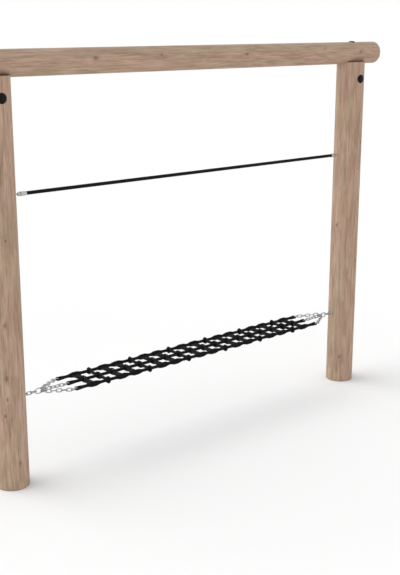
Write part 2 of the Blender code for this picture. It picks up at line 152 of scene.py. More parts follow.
# The filled throat where the legs of an eye are seized together: (distance, width, height)
EYE_THROAT = [(0.0030, 0.0030, 0.0012), (0.0045, 0.0056, 0.0026), (0.012, 0.0054, 0.0032),
              (0.030, 0.0040, 0.0028), (0.052, HEART_RADIUS, HEART_RADIUS)]
SPLICE_REACH = 0.042
SPLICE_FLAT = 0.28
SPLICE_WEAVE = 0.0010
SPLICE_WIDER = 0.0023
SPLICE_HIGHER = 0.0062
SHORT_ROPE_REACH = 0.0915
# Where a short rope's thickness changes: (distance from the middle, (half width, half height))
MIDDLE_KNOT = [(0.000, (0.0095, 0.0185)), (0.006, (0.0095, 0.0185)), (0.016, (0.0092, 0.0145))]
END_KNOT = [(0.030, (0.0080, 0.0080)), (0.066, (0.0080, 0.0080)), (0.0745, (0.0090, 0.0135)),
            (0.0805, (0.0098, 0.0185)), (0.0915, (0.0098, 0.0185)), (0.0955, (0.0086, 0.0140)),
            (0.0973, (0.0058, 0.0080))]
FANNED_END = [(0.026, (0.0140, 0.0095)), (0.036, (0.0222, 0.0078)), (0.068, (0.0228, 0.0078)),
              (0.080, (0.0165, 0.0078)), (SHORT_ROPE_REACH, (0.0120, 0.0070))]
# Where each strand lies across a fan, in half widths, how far the fan lies to the left, and
# how much thicker its loosened strands are
FAN_PLACES = (-0.2, 0.6, 1.0, 0.2, -0.6, -1.0)
FAN_SHIFT = 0.0024
FAN_SWELL = 0.0007


# ---- materials ----

def srgb(hex_colour):
    """Linear colour values for a six-digit sRGB hex colour."""
    values = [int(hex_colour[i:i + 2], 16) / 255 for i in (0, 2, 4)]
    linear = [v / 12.92 if v <= 0.04045 else ((v + 0.055) / 1.055) ** 2.4 for v in values]
    return (*linear, 1.0)


def add(tree, kind, inputs=None, stops=(), **settings):
    """Add a node: give it its settings and its colour stops, and set or link its inputs."""
    node = tree.nodes.new(kind)
    for key, value in settings.items():
        setattr(node, key, value)
    for key, value in (inputs or {}).items():
        if isinstance(value, bpy.types.NodeSocket):
            tree.links.new(value, node.inputs[key])
        else:
            node.inputs[key].default_value = value
    for i, (position, colour) in enumerate(stops):
        elements = node.color_ramp.elements
        element = elements[i] if i < len(elements) else elements.new(position)
        element.position = position
        element.color = srgb(colour)
    return node


def blank(name):
    """A new material, its node tree and its shader."""
    material = bpy.data.materials.new(name)
    material.use_nodes = True
    tree = material.node_tree
    return material, tree, tree.nodes["Principled BSDF"]


def larch(name, radius, centre, axis, end_grain_and_shade_tone, knots):
    """Machine-rounded larch, a little weathered: pale brown and matt, with fibres, streaks and
    growth rings along it, darker end grain (darker still on the post tops, as painted shade in
    the joint under the beam), an upper side painted greyer and darker (part weathering, part
    painted shade against the light from above), and small brown knots in bent grain.

    knots are (distance along the timber, bearing round it in degrees, size in mm).
    """
    # How much longer than wide a knot is, the rings' spacing in mm, and in metres how far the
    # pith wanders aside, and over what length
    knot_stretch, ring_spacing = 1.6, 6
    pith_wander, pith_wander_length = 0.05, 1.3
    material, tree, shader = blank(name)
    axis = Vector(axis)
    across = Vector((1, 1, 1)) - axis
    coordinates = add(tree, "ShaderNodeTexCoord")
    place = coordinates.outputs["Object"]
    streaks = []
    # Real larch fibres are finer than 1 mm and 3 mm: drawn that wide so that they show
    for width, length, detail in ((1.0, 40, 2.0), (3.0, 80, 3.0), (14, 210, 2.0), (50, 450, 1.0)):
        scale = [1000 / (length if part else width) for part in axis]
        drawn_out = add(tree, "ShaderNodeMapping", {"Vector": place, "Scale": scale})
        noise = add(tree, "ShaderNodeTexNoise", {"Vector": drawn_out.outputs[0], "Scale": 1.0,
                                                 "Detail": detail})
        streaks.append(noise.outputs["Fac"])
    fibres, grain, streak, patch = streaks

    # Knots: the distance to the nearest, in knot sizes, and how much it bends the grain
    squeeze = across + axis / knot_stretch
    squeezed = add(tree, "ShaderNodeVectorMath", {0: place, 1: squeeze}, operation="MULTIPLY")
    nearest = 10.0
    for along, bearing, size in knots:
        bearing = math.radians(bearing)
        rearward = Vector((0, 1, 0))
        outward = rearward * math.cos(bearing) + axis.cross(rearward) * math.sin(bearing)
        spot = (Vector(centre) + axis * along + outward * radius) * squeeze
        away = add(tree, "ShaderNodeVectorMath", {0: squeezed.outputs[0], 1: spot},
                   operation="DISTANCE")
        sizes = add(tree, "ShaderNodeMath", {0: away.outputs["Value"], 1: 1000 / size},
                    operation="MULTIPLY")
        nearest = add(tree, "ShaderNodeMath", {0: sizes.outputs[0], 1: nearest},
                      operation="MINIMUM").outputs[0]
    ragged = add(tree, "ShaderNodeMath", {0: grain, 1: 0.9, 2: nearest},
                 operation="MULTIPLY_ADD")
    knot = add(tree, "ShaderNodeMapRange", {"Value": ragged.outputs[0], "From Min": 0.9,
                                            "From Max": 1.9, "To Min": 0.7, "To Max": 0.0},
               interpolation_type="SMOOTHSTEP")
    squared = add(tree, "ShaderNodeMath", {0: nearest, 1: 2.0}, operation="POWER")
    faded = add(tree, "ShaderNodeMath", {0: squared.outputs[0], 1: -0.16}, operation="MULTIPLY")
    bent = add(tree, "ShaderNodeMath", {0: faded.outputs[0]}, operation="EXPONENT")

    # Growth rings round a pith that wanders. Real rings are 2 to 4 mm: drawn 6 mm apart to show
    local = add(tree, "ShaderNodeVectorMath", {0: place, 1: centre}, operation="SUBTRACT")
    along = add(tree, "ShaderNodeVectorMath", {0: local.outputs[0], 1: axis},
                operation="DOT_PRODUCT")
    wander = add(tree, "ShaderNodeTexNoise", {"W": along.outputs["Value"],
                                              "Scale": 1 / pith_wander_length, "Detail": 1.0},
                 noise_dimensions="1D")
    pith = add(tree, "ShaderNodeVectorMath", {0: wander.outputs["Color"], 1: (pith_wander,) * 3,
                                              2: local.outputs[0]}, operation="MULTIPLY_ADD")
    centred = add(tree, "ShaderNodeVectorMath", {0: pith.outputs[0], 1: (-pith_wander / 2,) * 3},
                  operation="ADD")
    spread = add(tree, "ShaderNodeVectorMath", {0: centred.outputs[0], 1: across},
                 operation="MULTIPLY")
    depth = add(tree, "ShaderNodeVectorMath", {0: spread.outputs[0]}, operation="LENGTH")
    rings = add(tree, "ShaderNodeMath", {0: depth.outputs["Value"], 1: 1000 / ring_spacing,
                                         2: grain}, operation="MULTIPLY_ADD")
    bent_rings = add(tree, "ShaderNodeMath", {0: bent.outputs[0], 1: 0.9, 2: rings.outputs[0]},
                     operation="MULTIPLY_ADD")
    phase = add(tree, "ShaderNodeMath", {0: bent_rings.outputs[0]}, operation="FRACT")
    # Pale early wood shades slowly into a thin dark line of late wood
    ring = add(tree, "ShaderNodeValToRGB", {"Fac": phase.outputs[0]},
               stops=[(0.0, "BCBCBC"), (0.4, "BCBCBC"), (0.86, "949494"), (1.0, "BCBCBC")])

    tone = 0.0
    for part, weight in ((fibres, 0.6), (grain, 1.0), (streak, 0.7), (ring.outputs["Color"], 0.55),
                         (bent.outputs[0], -0.08)):
        tone = add(tree, "ShaderNodeMath", {0: part, 1: weight, 2: tone},
                   operation="MULTIPLY_ADD").outputs[0]
    level = add(tree, "ShaderNodeMapRange", {"Value": tone, "From Min": 0.84, "From Max": 1.98})
    brown = add(tree, "ShaderNodeValToRGB", {"Fac": level.outputs[0]},
                stops=[(0.0, "7A6354"), (0.38, "A18774"), (0.55, "B19986"), (0.75, "BFA695"),
                       (1.0, "D8C2B2")])
    tint = add(tree, "ShaderNodeValToRGB", {"Fac": patch},
               stops=[(0.38, "F7F8F0"), (0.5, "FAF6F2"), (0.62, "FDF5F1")])
    tinted = add(tree, "ShaderNodeMix", {0: 1.0, 6: brown.outputs[0], 7: tint.outputs[0]},
                 data_type="RGBA", blend_type="MULTIPLY")
    # What faces up is painted greyer and darker: partly grey weathering from rain, partly painted
    # shade that tones down the light from above
    facing = add(tree, "ShaderNodeSeparateXYZ", {"Vector": coordinates.outputs["Normal"]})
    upward_weathering_and_shade = add(tree, "ShaderNodeMapRange", {"Value": facing.outputs["Z"], "From Min": 0.1,
                                           "From Max": 0.85})
    greyed_and_shaded = add(tree, "ShaderNodeMix", {0: upward_weathering_and_shade.outputs[0], 6: tinted.outputs[2],
                                         7: srgb("DDE1E2")}, data_type="RGBA",
                 blend_type="MULTIPLY")
    heart = add(tree, "ShaderNodeValToRGB", {"Fac": grain},
                stops=[(0.35, "5F4636"), (0.65, "7F6350")])
    knotted = add(tree, "ShaderNodeMix", {0: knot.outputs[0], 6: greyed_and_shaded.outputs[2],
                                          7: heart.outputs[0]}, data_type="RGBA")
    # End grain is darker brown. On the post tops its tone is darker still, as painted shade for
    # the shadowed joint under the beam
    endwise = add(tree, "ShaderNodeVectorMath", {0: coordinates.outputs["Normal"], 1: axis},
                  operation="DOT_PRODUCT")
    either_way = add(tree, "ShaderNodeMath", {0: endwise.outputs["Value"]}, operation="ABSOLUTE")
    end_grain_and_shade_mask = add(tree, "ShaderNodeMapRange", {"Value": either_way.outputs[0], "From Min": 0.35,
                                                 "From Max": 0.65, "To Max": 0.8})
    whole = add(tree, "ShaderNodeMix", {0: end_grain_and_shade_mask.outputs[0], 6: knotted.outputs[2],
                                        7: srgb(end_grain_and_shade_tone)}, data_type="RGBA")
    tree.links.new(whole.outputs[2], shader.inputs["Base Color"])
    dull = add(tree, "ShaderNodeMapRange", {"Value": fibres, "From Min": 0.3, "From Max": 0.7,
                                            "To Min": 0.85, "To Max": 0.65})
    tree.links.new(dull.outputs[0], shader.inputs["Roughness"])
    shader.inputs["Specular IOR Level"].default_value = 0.3
    height = add(tree, "ShaderNodeMath", {0: phase.outputs[0], 1: 0.3, 2: grain},
                 operation="MULTIPLY_ADD")
    bump = add(tree, "ShaderNodeBump", {"Height": height.outputs[0], "Strength": 0.4,
                                        "Distance": 0.0008})
    tree.links.new(bump.outputs["Normal"], shader.inputs["Normal"])
    return material


def laid_rope(name, dark, pale):
    """Laid polyester rope with a steel core: near black, and dull where yarns break the light."""
    material, tree, shader = blank(name)
    place = add(tree, "ShaderNodeTexCoord").outputs["Object"]
    # Yarns of a strand are about 0.5 mm: drawn 1.6 mm wide so that they show
    yarns = add(tree, "ShaderNodeTexNoise", {"Vector": place, "Scale": 1000 / 1.6, "Detail": 3.0})
    wear = add(tree, "ShaderNodeTexNoise", {"Vector": place, "Scale": 1000 / 22, "Detail": 2.0})
    both = add(tree, "ShaderNodeMath", {0: yarns.outputs["Fac"], 1: wear.outputs["Fac"]},
               operation="MULTIPLY")
    tone = add(tree, "ShaderNodeValToRGB", {"Fac": both.outputs[0]},
               stops=[(0.15, dark), (0.38, pale)])
    tree.links.new(tone.outputs[0], shader.inputs["Base Color"])
    dull = add(tree, "ShaderNodeMapRange", {"Value": yarns.outputs["Fac"], "From Min": 0.3,
                                            "From Max": 0.7, "To Min": 0.7, "To Max": 0.5})
    tree.links.new(dull.outputs[0], shader.inputs["Roughness"])
    shader.inputs["Specular IOR Level"].default_value = 0.16
    bump = add(tree, "ShaderNodeBump", {"Height": yarns.outputs["Fac"], "Strength": 0.5,
                                        "Distance": 0.0005})
    tree.links.new(bump.outputs["Normal"], shader.inputs["Normal"])
    return material


def galvanised_steel():
    """Hot-dip galvanised steel wire: dull grey metal with a faint cloudy spangle."""
    material, tree, shader = blank("galvanised steel, hot dipped")
    place = add(tree, "ShaderNodeTexCoord").outputs["Object"]
    spangle = add(tree, "ShaderNodeTexVoronoi", {"Vector": place, "Scale": 1000 / 3.0})
    cloud = add(tree, "ShaderNodeTexNoise", {"Vector": place, "Scale": 1000 / 7.0, "Detail": 3.0})
    both = add(tree, "ShaderNodeMath", {0: spangle.outputs["Distance"], 1: 0.4,
                                        2: cloud.outputs["Fac"]}, operation="MULTIPLY_ADD")
    tone = add(tree, "ShaderNodeValToRGB", {"Fac": both.outputs[0]},
               stops=[(0.4, "979A9B"), (0.7, "B1B4B5"), (0.95, "A2A5A6")])
    tree.links.new(tone.outputs[0], shader.inputs["Base Color"])
    shader.inputs["Metallic"].default_value = 1.0
    dull = add(tree, "ShaderNodeMapRange", {"Value": cloud.outputs["Fac"], "From Min": 0.3,
                                            "From Max": 0.7, "To Min": 0.35, "To Max": 0.55})
    tree.links.new(dull.outputs[0], shader.inputs["Roughness"])
    bump = add(tree, "ShaderNodeBump", {"Height": cloud.outputs["Fac"], "Strength": 0.2,
                                        "Distance": 0.0003})
    tree.links.new(bump.outputs["Normal"], shader.inputs["Normal"])
    return material


def turned_steel():
    """Turned and crimped stainless steel: satin, with fine rings round the axis."""
    material, tree, shader = blank("stainless steel, turned")
    place = add(tree, "ShaderNodeTexCoord").outputs["Object"]
    # Tool marks are finer than this on the real fitting: drawn 1.2 mm apart so that they show
    marks = add(tree, "ShaderNodeTexWave", {"Vector": place, "Scale": math.pi / 10 / 0.0012,
                                            "Distortion": 0.4, "Detail": 1.0},
                wave_type="BANDS", bands_direction="X")
    tone = add(tree, "ShaderNodeValToRGB", {"Fac": marks.outputs["Fac"]},
               stops=[(0.0, "B4B6B7"), (1.0, "CBCCCC")])
    tree.links.new(tone.outputs[0], shader.inputs["Base Color"])
    shader.inputs["Metallic"].default_value = 1.0
    dull = add(tree, "ShaderNodeMapRange", {"Value": marks.outputs["Fac"], "To Min": 0.56,
                                            "To Max": 0.44})
    tree.links.new(dull.outputs[0], shader.inputs["Roughness"])
    bump = add(tree, "ShaderNodeBump", {"Height": marks.outputs["Fac"], "Strength": 0.15,
                                        "Distance": 0.0002})
    tree.links.new(bump.outputs["Normal"], shader.inputs["Normal"])
    return material


def moulded_plastic():
    """Moulded black polyethylene: satin, with a faint grain."""
    material, tree, shader = blank("black polyethylene, moulded")
    place = add(tree, "ShaderNodeTexCoord").outputs["Object"]
    grain = add(tree, "ShaderNodeTexNoise", {"Vector": place, "Scale": 1000 / 1.5, "Detail": 2.0})
    tone = add(tree, "ShaderNodeValToRGB", {"Fac": grain.outputs["Fac"]},
               stops=[(0.3, "080807"), (0.7, "11100F")])
    tree.links.new(tone.outputs[0], shader.inputs["Base Color"])
    dull = add(tree, "ShaderNodeMapRange", {"Value": grain.outputs["Fac"], "From Min": 0.3,
                                            "From Max": 0.7, "To Min": 0.4, "To Max": 0.52})
    tree.links.new(dull.outputs[0], shader.inputs["Roughness"])
    shader.inputs["Specular IOR Level"].default_value = 0.14
    bump = add(tree, "ShaderNodeBump", {"Height": grain.outputs["Fac"], "Strength": 0.2,
                                        "Distance": 0.0003})
    tree.links.new(bump.outputs["Normal"], shader.inputs["Normal"])
    return material


def pale_floor():
    """Pale matt studio floor, faintly clouded, that goes to white in the distance."""
    material, tree, shader = blank("pale matt floor paint")
    place = add(tree, "ShaderNodeTexCoord").outputs["Object"]
    cloud = add(tree, "ShaderNodeTexNoise", {"Vector": place, "Scale": 0.7, "Detail": 1.0})
    tone = add(tree, "ShaderNodeValToRGB", {"Fac": cloud.outputs["Fac"]},
               stops=[(0.3, "D6D6D6"), (0.7, "D8D8D8")])
    tree.links.new(tone.outputs[0], shader.inputs["Base Color"])
    shader.inputs["Roughness"].default_value = 0.8
    return material


# The posts' dark reddish end tone is partly painted shade for the shadowed joint under the beam,
# over the end grain's own darker brown
LEFT_POST_LARCH = larch("larch, machine-rounded, left post", POST_RADIUS, (0, 0, 0), (0, 0, 1),
                        "6B3B25",
                        [(0.82, 151, 6), (0.565, 149, 9), (0.462, 147, 5), (0.381, 138, 6),
                         (0.135, 180, 5), (1.21, 168, 5), (1.60, 135, 6), (1.35, 20, 8),
                         (0.70, -60, 9), (0.25, 60, 7), (1.05, 80, 6)])
RIGHT_POST_LARCH = larch("larch, machine-rounded, right post", POST_RADIUS,
                         (POST_SPACING, 0, 0), (0, 0, 1), "6B3B25",
                         [(0.16, 132, 6), (0.76, 196, 7), (1.468, 198, 7), (1.317, 186, 5),
                          (0.98, 95, 6), (0.40, 10, 9), (1.15, -50, 8), (1.66, 40, 6)])
BEAM_LARCH = larch("larch, machine-rounded, beam", BEAM_RADIUS,
                   (-BEAM_OVERHANG, 0, BEAM_AXIS_HEIGHT), (1, 0, 0), "7F6C5D",
                   [(0.704, 168, 8), (1.087, 160, 6), (1.643, 170, 7), (2.522, 172, 7),
                    (2.235, 150, 5), (0.30, 30, 6), (0.90, 20, 9), (1.95, -20, 8)])
NET_ROPE = laid_rope("polyester rope, laid, net", "030303", "0B0A0B")
HAND_ROPE = laid_rope("polyester rope, laid, hand line", "030303", "0C0B0C")
CHAIN_STEEL = galvanised_steel()
FITTING_STEEL = turned_steel()
CAP_PLASTIC = moulded_plastic()


# ---- making pieces ----

def piece(name, mesh, material, body, node):
    """A finished piece: smooth, on its body, in place of the solid it stands for."""
    mesh.shade_smooth()
    mesh.set_sharp_from_angle(angle=math.radians(40))
    mesh.materials.clear()
    mesh.materials.append(material)
    made = bpy.data.objects.new(name, mesh)
    bpy.context.scene.collection.objects.link(made)
    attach(made, body)
    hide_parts(node)


def to_mesh(name, body):
    """A bmesh as a mesh, its faces pointing out."""
    bmesh.ops.recalc_face_normals(body, faces=body.faces)
    mesh = bpy.data.meshes.new(name)
    body.to_mesh(mesh)
    body.free()
    return mesh


def corners_of(geometry):
    """The corners in what an extrusion or a spin gives back."""
    return [item for item in geometry if isinstance(item, bmesh.types.BMVert)]


def edges_of(geometry):
    """The edges in what an extrusion or a spin gives back."""
    return [item for item in geometry if isinstance(item, bmesh.types.BMEdge)]


def frame_along(origin, direction, roll=0.0):
    """A frame with X along a direction; without roll its Z is as upright as it can be."""
    x_axis = Vector(direction).normalized()
    upright = Vector((1, 0, 0)) if abs(x_axis.z) > 0.99 else Vector((0, 0, 1))
    y_axis = upright.cross(x_axis).normalized()
    axes = Matrix((x_axis, y_axis, x_axis.cross(y_axis))).transposed().to_4x4()
    return Matrix.Translation(origin) @ axes @ Matrix.Rotation(roll, 4, "X")


def ring_of(body, sides, radius, place):
    """An open ring in a body: a circle across X in its frame."""
    across = Matrix(((0, 0, 1, 0), (1, 0, 0, 0), (0, 1, 0, 0), (0, 0, 0, 1)))
    circle = bmesh.ops.create_circle(body, segments=sides, radius=radius, matrix=place @ across)
    edges = list({edge for corner in circle["verts"] for edge in corner.link_edges})
    return circle["verts"] + edges


def swept(body, place, outline, sides):
    """A closed form along X in a frame: the outline lists (distance, half width, half height)."""
    sections = [place @ Matrix.Translation((x, 0, 0)) @ Matrix.Diagonal((1, wide, high, 1))
                for x, wide, high in outline]
    ring = ring_of(body, sides, 1.0, sections[0])
    open_edges = edges_of(ring)
    for before, after in zip(sections, sections[1:]):
        ring = bmesh.ops.extrude_edge_only(body, edges=edges_of(ring))["geom"]
        bmesh.ops.transform(body, matrix=after @ before.inverted(), verts=corners_of(ring))
    bmesh.ops.holes_fill(body, edges=open_edges + edges_of(ring))
    return body


def turned(body, place, profile, sides):
    """A closed round form about X in a frame: the profile lists (distance, radius)."""
    return swept(body, place, [(x, radius, radius) for x, radius in profile], sides)


# ---- timber ----

def cut_by(mesh, cutter):
    """A mesh with the space of another body cut out of it."""
    timber = bpy.data.objects.new("timber being cut", mesh)
    tool = bpy.data.objects.new("cutter", cutter)
    for thing in (timber, tool):
        bpy.context.scene.collection.objects.link(thing)
    step = timber.modifiers.new("cut", "BOOLEAN")
    step.operation = "DIFFERENCE"
    step.solver = "EXACT"
    step.object = tool
    bpy.context.view_layer.update()
    view = bpy.context.evaluated_depsgraph_get()
    cut = bpy.data.meshes.new_from_object(timber.evaluated_get(view))
    for thing in (timber, tool):
        bpy.data.objects.remove(thing)
    return cut


def log_profile(radius, length, rim):
    """The outline of a round timber with chamfered ends whose edges are a little dulled."""
    start = [(0.0, part * (radius - rim)) for part in (0.05, 0.3, 0.55, 0.75, 0.95)]
    start += [(rim * part, radius - rim * drop)
              for part, drop in ((0.03, 1.03), (0.06, 0.94), (0.34, 0.66), (0.66, 0.34),
                                 (0.94, 0.06))]
    barrel_start = 1.06 * rim
    barrel_length = length - 2 * barrel_start
    steps = round(barrel_length / TIMBER_STEP)
    barrel = [(barrel_start + barrel_length * i / steps, radius) for i in range(steps + 1)]
    return start + barrel + [(length - x, r) for x, r in reversed(start)]


def make_posts():
    """Two round posts with a shallow seat for the beam in their tops."""
    outline = log_profile(POST_RADIUS, POST_HEIGHT, POST_RIM)
    seat_outline = [(0, SEAT_RADIUS), (2 * BEAM_OVERHANG, SEAT_RADIUS)]
    for (side, x, _), material in zip(ENDS, (LEFT_POST_LARCH, RIGHT_POST_LARCH)):
        upright = frame_along((x, 0, 0), (0, 0, 1))
        post = to_mesh("post", turned(bmesh.new(), upright, outline, TIMBER_SIDES))
        lying = frame_along((x - BEAM_OVERHANG, 0, BEAM_AXIS_HEIGHT), (1, 0, 0))
        seat = to_mesh("seat", turned(bmesh.new(), lying, seat_outline, TIMBER_SIDES))
        piece(f"{side}_post_timber", cut_by(post, seat), material, FRAME_BODY,
              f"{side}_post")


def make_beam():
    """The round beam across the posts."""
    lying = frame_along((-BEAM_OVERHANG, 0, BEAM_AXIS_HEIGHT), (1, 0, 0))
    profile = log_profile(BEAM_RADIUS, POST_SPACING + 2 * BEAM_OVERHANG, BEAM_CHAMFER)
    beam = to_mesh("beam", turned(bmesh.new(), lying, profile, TIMBER_SIDES))
    piece("top_beam_timber", beam, BEAM_LARCH, FRAME_BODY, "top_beam")


def make_caps():
    """Domed bolt caps with a rounded rim, on the front of each post and on the beam."""
    shoulder, inset = CAP_RIM[-1]
    for side, x, _ in ENDS:
        for place, origin, outward, radius, crown in (
                ("post", (x, -POST_RADIUS, POST_CAP_HEIGHT), (0, -1, 0), CAP_RADIUS, CAP_CROWN),
                ("beam", (x, 0, BEAM_AXIS_HEIGHT + BEAM_RADIUS), (0, 0, 1), BEAM_CAP_RADIUS,
                 BEAM_CAP_CROWN)):
            dome = [(height, radius - inside) for height, inside in CAP_RIM]
            for i in range(1, CAP_DOME_STEPS):
                turn = math.pi / 2 * i / CAP_DOME_STEPS
                rise = (crown - shoulder) * math.sin(turn)
                dome.append((shoulder + rise, (radius - inset) * math.cos(turn)))
            cap = turned(bmesh.new(), frame_along(origin, outward), dome, CAP_SIDES)
            piece(f"{side}_{place}_cap_dome", to_mesh("cap", cap), CAP_PLASTIC, FRAME_BODY,
                  f"{side}_{place}_cap")


# ---- ropes ----

def smooth(part):
    """A soft step from 0 to 1."""
    part = min(1.0, max(0.0, part))
    return part * part * (3 - 2 * part)


def between(position, keys):
    """Values at a position, from (position, values) keys."""
    for (start, low), (end, high) in zip(keys, keys[1:]):
        if position <= end:
            part = smooth((position - start) / (end - start))
            return [a + (b - a) * part for a, b in zip(low, high)]
    return keys[-1][1]


def rope_mesh(name, strands, hearts, shift):
    """Round strands, each a list of (point, radius), and the hearts that fill them."""
    curve = bpy.data.curves.new(name, "CURVE")
    curve.dimensions = "3D"
    curve.bevel_depth = 1.0
    curve.bevel_resolution = 2
    curve.use_fill_caps = True
    for strand in strands:
        spline = curve.splines.new("POLY")
        spline.points.add(len(strand) - 1)
        for station, (point, radius) in zip(spline.points, strand):
            station.co = (*point, 1.0)
            station.radius = radius
    holder = bpy.data.objects.new(name, curve)
    shape = bpy.data.meshes.new_from_object(holder)
    body = bmesh.new()
    body.from_mesh(shape)
    bpy.data.objects.remove(holder)
    bpy.data.curves.remove(curve)
    bpy.data.meshes.remove(shape)
    bmesh.ops.remove_doubles(body, verts=body.verts, dist=0.000001)
    for place, outline in hearts:
        swept(body, place, outline, HEART_SIDES)
    bmesh.ops.translate(body, vec=shift, verts=body.verts)
    return to_mesh(name, body)


def eye_strand(eye_x, half, fan):
    """A strand of the eye at a long rope's left end, from the far end of the loop to the rope.

    half is 1 or -1 for the two legs of the eye, and fan is 0, 1 or 2 for the strand in its leg.
    """
    squareness = 0.85
    legs_meet = 0.006
    joined_half_width = 0.0083
    # Three strands that touch: how far their axes and their outsides are from the middle, in
    # strand radii
    bundle_ring, bundle_reach = 1.155, 2.15
    # Each step: how far along, how far aside, and the way outwards. Along the straight part of
    # a leg, how far aside depends on the strand's thickness there
    bend = [math.pi / 2 * i / 6 for i in range(7)]
    path = [(-EYE_RADIUS * math.cos(a) ** squareness, EYE_RADIUS * math.sin(a) ** squareness, a)
            for a in bend]
    path += [(EYE_LEG_LENGTH * i / 12, None, math.pi / 2) for i in range(1, 13)]
    strand = []
    for i, (x, aside, lean) in enumerate(path):
        joined = smooth((x - legs_meet) / (EYE_LEG_LENGTH - legs_meet))
        # Pressed thin round the link, and as thick as in the rope where the legs have joined
        radius = 0.00225 + 0.00050 * smooth(x / 0.010) + 0.00025 * joined
        bundle = bundle_ring * radius
        if aside is None:
            edge = EYE_HALF_WIDTH - (EYE_HALF_WIDTH - joined_half_width) * x / EYE_LEG_LENGTH
            aside = min(EYE_RADIUS, edge - bundle_reach * radius) * (1 - joined)
            aside += 2 / 3 * STRAND_WIND * joined
        turn = math.pi / 2 - 2 * math.pi / 3 * (fan - smooth(i / (len(path) - 1)))
        across = (bundle + (STRAND_WIND - bundle) * joined) * math.cos(turn)
        outward = (bundle + (STRAND_WIND / 3 - bundle) * joined) * math.sin(turn)
        local = Vector((x - outward * math.cos(lean), aside + outward * math.sin(lean), across))
        local.rotate(Matrix.Rotation(EYE_TILT + (0 if half > 0 else math.pi), 3, "X"))
        strand.append((Vector((eye_x, 0, 0)) + local, radius))
    return strand


def long_rope(eye_x, splices):
    """Strands and hearts of a long rope with an eye at each end, fuller where it is spliced."""
    start = eye_x + EYE_LEG_LENGTH
    length = POST_SPACING - 2 * start
    step = 0.0036 if splices else 0.0055
    steps = round(length / step)
    # A whole number of sixths of a turn, so that each strand meets one of the far eye's
    sixths = round(STRAND_COUNT * length / ROPE_LAY)
    turn_rate = sixths * math.pi / 3 / length
    # The strands' places round the rope, from the eye's tilt on: (leg, place in the leg)
    places = [(1, 1), (1, 0), (-1, 2), (-1, 1), (-1, 0), (1, 2)]

    def fullness(x):
        """0 where the rope is plain and 1 in the middle of a splice, and how far that is."""
        away = min((x - splice for splice in splices), key=abs, default=1.0)
        return 1 - smooth((abs(away) / SPLICE_REACH - SPLICE_FLAT) / (1 - SPLICE_FLAT)), away

    def point(x, angle, weave, radius):
        """A strand's place at x: it weaves over and under the tucked strands in a splice."""
        full, away = fullness(x)
        lift = weave * SPLICE_WEAVE * full * math.cos(STRAND_COUNT * turn_rate * away)
        wide = STRAND_WIND + full * SPLICE_WIDER + lift
        high = STRAND_WIND + full * SPLICE_HIGHER + lift
        return Vector((x, wide * math.cos(angle), high * math.sin(angle))), radius

    strands = []
    for i, (half, fan) in enumerate(places):
        strand = eye_strand(eye_x, half, fan)
        for k in range(1, steps + 1):
            along = length * k / steps
            angle = EYE_TILT + i * math.pi / 3 + turn_rate * along
            strand.append(point(start + along, angle, 1, STRAND_RADIUS))
        far_eye = eye_strand(eye_x, *places[(i + sixths) % 6])
        strand += [(Vector((POST_SPACING - p.x, p.y, p.z)), r) for p, r in reversed(far_eye[:-1])]
        strands.append(strand)
    # The short rope's strands are tucked in against the lay, thinner towards their ends
    tuck_reach, tuck_steps = 0.92 * SPLICE_REACH, 10
    for splice in splices:
        angle = EYE_TILT + turn_rate * (splice - start)
        for i in range(STRAND_COUNT):
            tuck = []
            for k in range(-tuck_steps, tuck_steps + 1):
                away = tuck_reach * k / tuck_steps
                full, _ = fullness(splice + away)
                tuck.append(point(splice + away, angle + i * math.pi / 3 - turn_rate * away, -1,
                                  0.0012 + 0.0015 * full))
            strands.append(tuck)
    # The heart fills the middle between the strands, so it swells with them in a splice
    heart = [(0.0, HEART_RADIUS, HEART_RADIUS)]
    for splice in splices:
        for part, full in ((-1, 0), (-0.66, 0.5), (-SPLICE_FLAT, 1), (SPLICE_FLAT, 1),
                           (0.66, 0.5), (1, 0)):
            heart.append((splice - start + part * 0.95 * SPLICE_REACH,
                          0.0032 + 0.0036 * full, 0.0032 + 0.0075 * full))
    heart.append((length, HEART_RADIUS, HEART_RADIUS))
    far_eye_x = POST_SPACING - eye_x
    return strands, [(frame_along((start, 0, 0), (1, 0, 0)), heart),
                     (frame_along((eye_x, 0, 0), (1, 0, 0), EYE_TILT), EYE_THROAT),
                     (frame_along((far_eye_x, 0, 0), (-1, 0, 0), -EYE_TILT), EYE_THROAT)]


def station_x(k):
    """The place of one short rope along the net."""
    return FIRST_STATION + k * ROPE_PITCH


def is_knotted(k):
    """Every third short rope, from the second, passes round the outer ropes and ends in knots."""
    return k % 3 == 1


def short_rope(knotted):
    """Strands and heart of a short rope: three pass over a long rope and three under it."""
    step = 0.0042
    strand_inset = 0.0026
    fan_start, fan_opening, fan_half_height = 0.014, 0.018, 0.0020
    keys = MIDDLE_KNOT + (END_KNOT if knotted else FANNED_END)
    reach = keys[-1][0]
    # A knotted rope is laid between its knots; a spliced one's strands spread out in a flat fan
    twist = math.pi if knotted else 0.0
    turns = [(-0.067, (-twist,)), (-0.013, (0.0,)), (0.013, (0.0,)), (0.067, (twist,))]
    steps = round(2 * reach / step)
    strands = []
    for i in range(STRAND_COUNT):
        strand = []
        for k in range(steps + 1):
            y = -reach + 2 * reach * k / steps
            wide, high = between(abs(y), keys)
            angle = math.pi / 2 + i * math.pi / 3 + between(y, turns)[0]
            wind = wide - strand_inset
            lean = min(1.0, max(-1.0, 2 * math.sin(angle)))
            up = wind * math.sin(angle) + (high - strand_inset - wind) * lean
            place = Vector((-wind * math.cos(angle), y, up))
            spread = 0.0 if knotted else smooth((abs(y) - fan_start) / fan_opening)
            flat = (wind * FAN_PLACES[i] - FAN_SHIFT, y, fan_half_height * lean)
            strand.append((place.lerp(flat, spread), STRAND_RADIUS + FAN_SWELL * spread))
        strands.append(strand)
    half = [(y, wide - 0.0036, max(HEART_RADIUS, high - 0.0065)) for y, (wide, high) in keys[1:]]
    heart = [(-y, wide, high) for y, wide, high in reversed(half)] + half
    aside = 0.0 if knotted else -FAN_SHIFT
    return strands, [(frame_along((aside, 0, 0), (0, 1, 0)), heart)]


